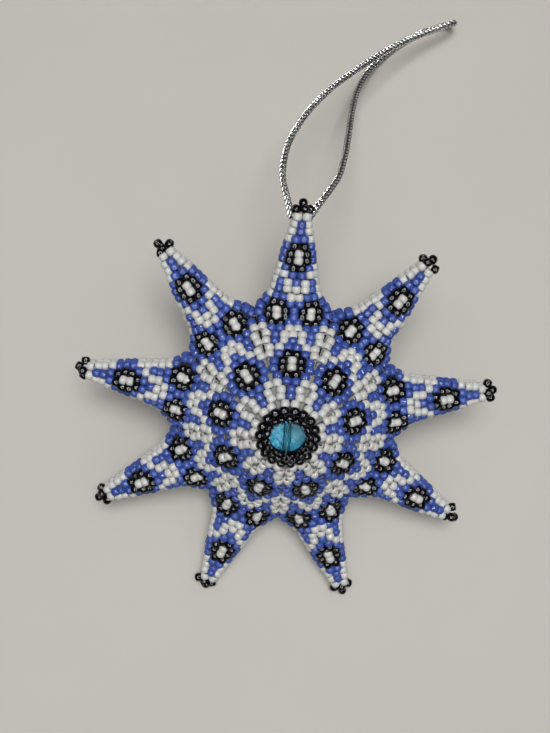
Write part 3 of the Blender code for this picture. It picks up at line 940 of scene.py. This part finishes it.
# %% [markdown]
# Behind the beads the thread crosses to and fro so often that it closes the netting: looking
# between two beads, one sees it in deep shade, and a little lighter where a valley opens.
# Thousands of crossing threads would never be made out, so one thin sheet lies under the
# beads, coloured with painted shade: near black, and painted lighter where a number at each
# point is 1, in the dome's valleys, and not where it is 0, elsewhere.

# %% Close the netting from behind
WEB_DEPTH = 0.62 * MM
WEB_ROWS = 47
WEB_COLUMNS = 17
WEB_END = LAST_ROUND + 0.8
VALLEY_SHARE = 0.8


def web_finish():
    """Crossed threads in painted shade: near black between the beads, painted lighter in the valleys."""
    finish = Finish("painted_shade_web")
    lit = finish.number("lit")
    cross = finish.cloud(1800.0, 3.0)
    mask = lit * (cross * 0.8 + 0.3)
    return finish.set(
        # Painted shade: near black, and painted lighter where lit is 1.
        Base_Color=finish.mix(mask, colour(0.012, 0.012, 0.014), colour(0.31, 0.305, 0.295)),
        Roughness=cross * 0.2 + 0.7,
        Normal=finish.bump(0.8, 0.08, cross),
    )


def web_mesh(side):
    """One thin sheet a little under the beads of a side."""
    points = []
    lit = []
    faces = []
    rows = np.linspace(1.0, WEB_END, WEB_ROWS)
    places = np.linspace(-1.0, 1.0, WEB_COLUMNS)
    for arm in range(1, ARMS + 1):
        first = len(points)
        for row in rows:
            for across in places:
                sunk = outward(row, across) * WEB_DEPTH
                point = swayed(arm, diamond_point(row, across)) - sunk
                points.append(star @ (arm_turn(arm) @ over(point, side)))
                # Lit is 1 in the open valleys, where the finish paints the sheet lighter.
                in_dome = ROOT_ROUND + 1 < row < LAST_ROUND
                lit.append(float(in_dome and abs(across) > VALLEY_SHARE))
        for i in range(WEB_ROWS - 1):
            for j in range(WEB_COLUMNS - 1):
                low = first + i * WEB_COLUMNS + j
                faces.append((low, low + 1, low + WEB_COLUMNS + 1, low + WEB_COLUMNS))
    mesh = smooth_mesh(f"{side}_thread_web", points, faces)
    number_points(mesh, "lit", lit)
    return mesh


painted_shade_web = web_finish()
for side in SIDES:
    web = linked(f"{side}_thread_web", web_mesh(side))
    web.data.materials.append(painted_shade_web)
    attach(web, "star")
print("closed the netting with", 2 * len(web.data.polygons), "faces")

# %% [markdown]
# ## The centre bead
#
# A crumpled sheet of silvery foil is sealed inside turquoise glass. The foil makes the
# light, broken patches, and the hole with its thread shows as a straight band whose dark
# edges are painted shade. The foil's colour holds painted highlights on its creases and a
# painted reflection of the dark room, darker, where it is smooth. A painted disc would lose
# all that from the side, so the bead is really made of foil inside clear glass, and the
# glass has its hole. Real glass would mirror each lamp as a white blot over the foil, so
# this glass bends and mirrors light less. The thread lies in its shade, and its colour is
# painted darker: painted shade.

# %% Crumple the foil
face_height = (front_face - back_face).length / 2
CENTRE_THICKNESS = 4.0 * MM
PLAY = 0.35 * MM
CENTRE_RADIUS = bezel_radius - BEAD_DIAMETER / 2 - GAP - PLAY
GLASS_EDGE = 0.35 * MM
FOIL_RADIUS = CENTRE_RADIUS - GLASS_EDGE
FOIL_DEPTH = 1.05 * MM
CRUMPLE = 0.16 * MM
FOLDS_PER_MM = (0.8, 1.9)
FINE_FOLD = 0.6
SMOOTHING = 0.9
SMOOTH_MIDDLE = 0.3
SMOOTH_SLOPE = (0.45, 0.28)
FOIL_RINGS = 30
FOIL_SIDES = 72
centre_middle = face_height - CENTRE_THICKNESS / 2


def smoothness(x, y):
    """How smooth the foil is at a place: 1 on its upper right, 0 on its left."""
    across, up = SMOOTH_SLOPE
    return min(1.0, max(0.0, SMOOTH_MIDDLE + across * x / MM + up * y / MM))


def crumpled(x, y):
    """The foil's height, smooth on its upper right and crumpled elsewhere."""
    place = Vector((x, y, 0.0)) / MM
    broad, fine = [noise.noise(place * folds) for folds in FOLDS_PER_MM]
    return CRUMPLE * (broad + FINE_FOLD * fine) * (1 - SMOOTHING * smoothness(x, y))


def disc_mesh(name, radius, height_at, rings, sides):
    """A disc of rings of points, whose height is a function of the place."""
    points = [(0.0, 0.0, height_at(0.0, 0.0))]
    for ring in range(1, rings + 1):
        for i in range(sides):
            turn = 2 * math.pi * i / sides
            x = radius * ring / rings * math.cos(turn)
            y = radius * ring / rings * math.sin(turn)
            points.append((x, y, height_at(x, y)))
    faces = [(0, 1 + i, 1 + (i + 1) % sides) for i in range(sides)]
    for ring in range(rings - 1):
        low = 1 + ring * sides
        for i in range(sides):
            j = (i + 1) % sides
            faces.append((low + i, low + sides + i, low + sides + j, low + j))
    return smooth_mesh(name, points, faces)


foil_mesh = disc_mesh(
    "crumpled_foil", FOIL_RADIUS, lambda x, y: centre_middle - FOIL_DEPTH + crumpled(x, y),
    FOIL_RINGS, FOIL_SIDES,
)
smooth = [smoothness(point.co.x, point.co.y) for point in foil_mesh.vertices]
number_points(foil_mesh, "smooth", smooth)
print("the foil has", len(foil_mesh.polygons), "faces")

# %% Make the finishes of the foil, the glass and the thread in it


def foil_finish():
    """Crinkled foil in the turquoise that the glass lends it, with painted highlights on its creases and painted
    reflection where it is smooth.
    """
    finish = Finish("turquoise_foil")
    crease = finish.cloud(700.0, 4.0, 1.2)
    smooth = finish.number("smooth")
    # Painted highlights: the creases are painted lighter, over their real bump.
    rough = finish.mix(crease, colour(0.005, 0.038, 0.066), colour(0.075, 0.215, 0.305))
    return finish.set(
        # Painted reflection: the smooth part is painted darker, as the dark room that it mirrors.
        Base_Color=finish.mix(smooth, rough, colour(0.018, 0.062, 0.088)),
        Metallic=0.06,
        Roughness=crease * 0.2 + 0.30,
        IOR=1.25,
        Normal=finish.bump(0.7, 0.12, crease * (1 - smooth)),
    )


def clear_glass():
    """Clear turquoise glass that lets the lamps' light through to the foil."""
    finish = Finish("turquoise_glass")
    both = finish.add("MixShader", inputs={
        0: finish.add("LightPath", out="Is Shadow Ray"),
        1: Value(finish.shader.outputs[0]),
        2: finish.add("BsdfTransparent", inputs={"Color": colour(0.7, 0.93, 0.96)}),
    })
    plug(both, finish.tree.nodes["Material Output"].inputs["Surface"])
    return finish.set(
        Base_Color=colour(0.62, 0.92, 0.96), Roughness=0.0, IOR=1.07, Transmission_Weight=1.0
    )


def painted_hole_shade_glass():
    """Near-black glass on the hole's two sides, painted shade for its dark lines."""
    finish = Finish("painted_hole_shade_glass")
    shade_speckle = finish.cloud(3000.0, 3.0)
    return finish.set(
        # The near-black colours are painted shade.
        Base_Color=finish.mix(shade_speckle, colour(0.004, 0.02, 0.03), colour(0.012, 0.06, 0.08)),
        Roughness=0.7,
        IOR=1.2,
    )


foil = foil_finish()
glass = clear_glass()
painted_hole_shade = painted_hole_shade_glass()
# Painted shade: the thread in the hole gets a darker copy of the grey thread's finish.
painted_shade_thread = twisted(
    "painted_shade_thread", colour(0.07, 0.085, 0.09), colour(0.03, 0.035, 0.04), THREAD_TURNS, 0.9
)
print("centre bead:", foil.name, "in", glass.name, "with", painted_shade_thread.name)

# %% [markdown]
# The glass swells like a low cone with a round top a little off the middle, and its rim is
# rounded. A lathe shape couldn't be off the middle, so its height is a formula. The hole is
# cut along Y by a long rod. The faces on its two sides get a near-black glass of their own,
# painted shade for the dark lines that the hole shows at its sides.

# %% Shape the glass round the foil
PEAK = 0.5 * MM
PEAK_FALL = 0.72 * MM
PEAK_PLACE = Vector((0.0, -0.35)) * MM
PEAK_WIDTH = Vector((1.25, 1.11)) * MM
RIM_ROUND = 4.0
GLASS_RINGS = 26


def glass_height(x, y):
    """How high the glass stands over the bead's middle plane."""
    share = min(1.0, math.hypot(x, y) / CENTRE_RADIUS)
    edge = (1 - share**RIM_ROUND) ** (1 / RIM_ROUND)
    aside = (x - PEAK_PLACE.x) / PEAK_WIDTH.x
    ahead = (y - PEAK_PLACE.y) / PEAK_WIDTH.y
    fall = math.sqrt(1 + aside**2 + ahead**2) - 1
    return (CENTRE_THICKNESS / 2 + PEAK - PEAK_FALL * fall) * edge


def glass_mesh():
    """The glass, whose lower side is its upper one mirrored, with one rim between them."""
    top = disc_mesh("lens", CENTRE_RADIUS, glass_height, GLASS_RINGS, FOIL_SIDES)
    upper = np.array([v.co[:] for v in top.vertices])
    lower = upper * (1, 1, -1)
    faces = [tuple(p.vertices) for p in top.polygons]
    rim = len(upper) - FOIL_SIDES
    number = [i + len(upper) if i < rim else i for i in range(len(upper))]
    faces += [tuple(number[i] for i in face[::-1]) for face in faces]
    points = np.concatenate([upper, lower[:rim]])
    points[rim:len(upper), 2] = 0.0
    bpy.data.meshes.remove(top)
    return smooth_mesh("turquoise_glass", points.tolist(), faces)


lens_mesh = glass_mesh()
print("the glass has", len(lens_mesh.polygons), "faces")

# %% Cut the hole and set the bead
THREAD_HOLE = 0.88 * MM
HOLE_SIDES = 32
ROD_END = 1.5 * CENTRE_RADIUS
HOLE_REACH = 1.02 * THREAD_HOLE
SHADED_SIDE = 0.7 * THREAD_HOLE
SHARP_EDGE = math.radians(50)


def centre_place(side, height):
    """The place of a centre bead's piece, upright on the front, turned over on the back."""
    flip = Matrix.Rotation(0.0 if side == "front" else math.pi, 4, "Y")
    return star @ flip @ Matrix.Translation((0.0, 0.0, height))


def centre_object(name, mesh, material, side, height=0.0):
    """A centre bead's piece in its place."""
    made = linked(name, mesh.copy())
    made.data.materials.append(material)
    made.data.transform(centre_place(side, height))
    return made


def hole_mesh():
    """A long rod along Y, which cuts the hole."""
    turns = 2 * math.pi * np.arange(HOLE_SIDES) / HOLE_SIDES
    ends = []
    for y in (-ROD_END, ROD_END):
        ends += [(THREAD_HOLE * math.sin(t), y, THREAD_HOLE * math.cos(t)) for t in turns]
    mesh = bpy.data.meshes.new("hole")
    mesh.from_pydata(ends, [], tube_faces(2, HOLE_SIDES, 0))
    return mesh


def shade_hole(piece, side):
    """Gives the hole's two sides the painted shade glass."""
    piece.data.materials.append(painted_hole_shade)
    flat = centre_place(side, centre_middle).inverted()
    for face in piece.data.polygons:
        spot = flat @ face.center
        in_hole = math.hypot(spot.x, spot.z) < HOLE_REACH
        face.material_index = int(in_hole and abs(spot.x) > SHADED_SIDE)


for side in SIDES:
    body = centre_object(f"{side}_glass", lens_mesh, glass, side, centre_middle)
    cutter = centre_object("hole", hole_mesh(), glass, side, centre_middle)
    cut = body.modifiers.new("hole", "BOOLEAN")
    cut.object = cutter
    shaped = bpy.data.meshes.new_from_object(
        body.evaluated_get(bpy.context.evaluated_depsgraph_get())
    )
    body.modifiers.clear()
    body.data = shaped
    shaped.shade_smooth()
    shaped.set_sharp_from_angle(angle=SHARP_EDGE)
    shade_hole(body, side)
    bpy.data.objects.remove(cutter)
    sheet = centre_object(f"{side}_foil", foil_mesh, foil, side)
    for piece in (body, sheet):
        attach(piece, "star")
        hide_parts(f"{side}_centre_bead")
    thread = frame["nodes"][f"{side}_centre_thread"].data
    thread.materials.clear()
    thread.materials.append(painted_shade_thread)
print("set both centre beads")

# %% [markdown]
# ## The cord's finish
#
# Each strand is a flat bundle of metallised film. It mirrors the lamps and the dark room in
# turn, and its colour is painted on top: near black where its painted shine is low, as
# painted shade where it dives under the next strand and on the dull strands, and silver
# where it is high, as painted highlight. So it looks white and black rather than grey, and
# the film's fine unevenness spreads the highlight.

# %% Finish the cord


def silver_film():
    finish = Finish("silver_film")
    film = finish.cloud(2400.0, 4.0)
    painted_shine = finish.number("painted_shine")
    mask = painted_shine * (film * 0.4 + 0.8)
    return finish.set(
        # Painted highlight and painted shade: near black where the painted shine is low, silver where it is high.
        Base_Color=finish.mix(mask, colour(0.02, 0.02, 0.02), colour(0.80, 0.80, 0.79)),
        Metallic=0.9,
        Roughness=film * 0.12 + 0.22,
        Normal=finish.bump(0.25, 0.03, film),
    )


silver = silver_film()
# The core's near-black colour is partly painted shade in the gaps between strands.
core = twisted("cord_core", colour(0.03, 0.03, 0.03), colour(0.008, 0.008, 0.008), 900.0, 0.8)
loop.data.materials.append(core)
loop.data.materials.append(silver)
print("cord finishes:", core.name, silver.name)

# %% [markdown]
# The cord's hidden stretch runs across the arm between its first two rounds, along the line
# that the loop swings about. Its ends show beside the tip, so it is braided too. Each end
# stops inside the loop's own first stretch, so the two stay joined at every swing.

# %% Braid the stretch across the arm
END_TUCK = 0.35 * MM
CROSSING_POINTS = 40

end = np.array(crossing)
reach = np.array((cord_offset - END_TUCK, 0.0, 0.0))
cross_line = np.linspace(end - reach, end + reach, CROSSING_POINTS)
stretch = linked("crossing_braid", braid_mesh("crossing_braid", cross_line))
stretch.data.materials.append(core)
stretch.data.materials.append(silver)
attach(stretch, "star")
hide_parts("loop_knot")
print("the crossing is", round(2 * reach[0] / MM, 2), "mm wide")

# %% [markdown]
# ## The table and the light
#
# The star lies on a plain, pale, slightly warm surface, in the soft light of a whole room.
# One wide lamp would throw a hard shadow and draw a disc on each bead. So the work is
# shared: a wide sky lamp and a narrower window lamp light every surface from above, with
# soft shadows, and are kept out of reflections. A ring of small lamps, a little towards
# the near side, only makes reflections: the small bright ring on every black bead, and
# the glints on the cord and the other beads.

# %% Lay the table
TABLE_SIZE = 3.0
TABLE_LIGHT = colour(0.585, 0.563, 0.515)
TABLE_DARK = colour(0.558, 0.536, 0.488)
table_finish = Finish("table")
mottle = table_finish.cloud(22.0, 3.0)
table_finish.set(
    Base_Color=table_finish.mix(mottle, TABLE_DARK, TABLE_LIGHT),
    Roughness=0.7,
    IOR=1.25,
)
table_mesh = bpy.data.meshes.new("table")
half = TABLE_SIZE / 2
table_mesh.from_pydata(
    [(-half, -half, 0.0), (half, -half, 0.0), (half, half, 0.0), (-half, half, 0.0)],
    [], [(0, 1, 2, 3)],
)
table_mesh.materials.append(table_finish.material)
table = linked("table", table_mesh)
print("the table is", TABLE_SIZE, "m wide")

# %% Light the room
SKY_ANGLE = math.radians(110)
SKY_POWER = 0.47
SKY_WAY = Vector((0.1, 0.0, 1.0))
WINDOW_ANGLE = math.radians(28)
WINDOW_POWER = 2.17
WINDOW_WAY = Vector((0.0, 0.09, 1.0))
WORLD_LIGHT = 0.04
WORLD_COLOUR = colour(1.0, 0.98, 0.95)

for name, angle, power, way in (
    ("sky", SKY_ANGLE, SKY_POWER, SKY_WAY),
    ("window", WINDOW_ANGLE, WINDOW_POWER, WINDOW_WAY),
):
    lamp = bpy.data.lights.new(name, "SUN")
    lamp.angle = angle
    lamp.energy = power
    held = linked(name, lamp)
    held.rotation_euler = (-way).to_track_quat("-Z", "Y").to_euler()
    held.visible_glossy = False
print("the sky lamp is", round(math.degrees(SKY_ANGLE)), "degrees wide")

# %% Hang the ring of lamps
LAMPS = 40
RING_CENTRE = Vector((-8.0, -68.0, 290.0)) * MM
RING_RADIUS = 165 * MM
RING_POWER = 4.6
LAMP_SIZE = 20 * MM

for i in range(LAMPS):
    turn = 2 * math.pi * i / LAMPS
    lamp = bpy.data.lights.new(f"lamp_{i + 1}", "AREA")
    lamp.shape = "DISK"
    lamp.size = LAMP_SIZE
    lamp.energy = RING_POWER / LAMPS
    held = linked(f"lamp_{i + 1}", lamp)
    spoke = Vector((math.cos(turn), math.sin(turn), 0.0))
    held.location = RING_CENTRE + spoke * RING_RADIUS
    held.rotation_euler = (-held.location).to_track_quat("-Z", "Y").to_euler()
    held.visible_camera = False
    held.visible_diffuse = False
world = bpy.data.worlds.new("room")
world.use_nodes = True
background = world.node_tree.nodes["Background"].inputs
background["Color"].default_value = WORLD_COLOUR
background["Strength"].default_value = WORLD_LIGHT
bpy.context.scene.world = world
bpy.context.scene.view_settings.view_transform = "Standard"
print("hung", LAMPS, "lamps")
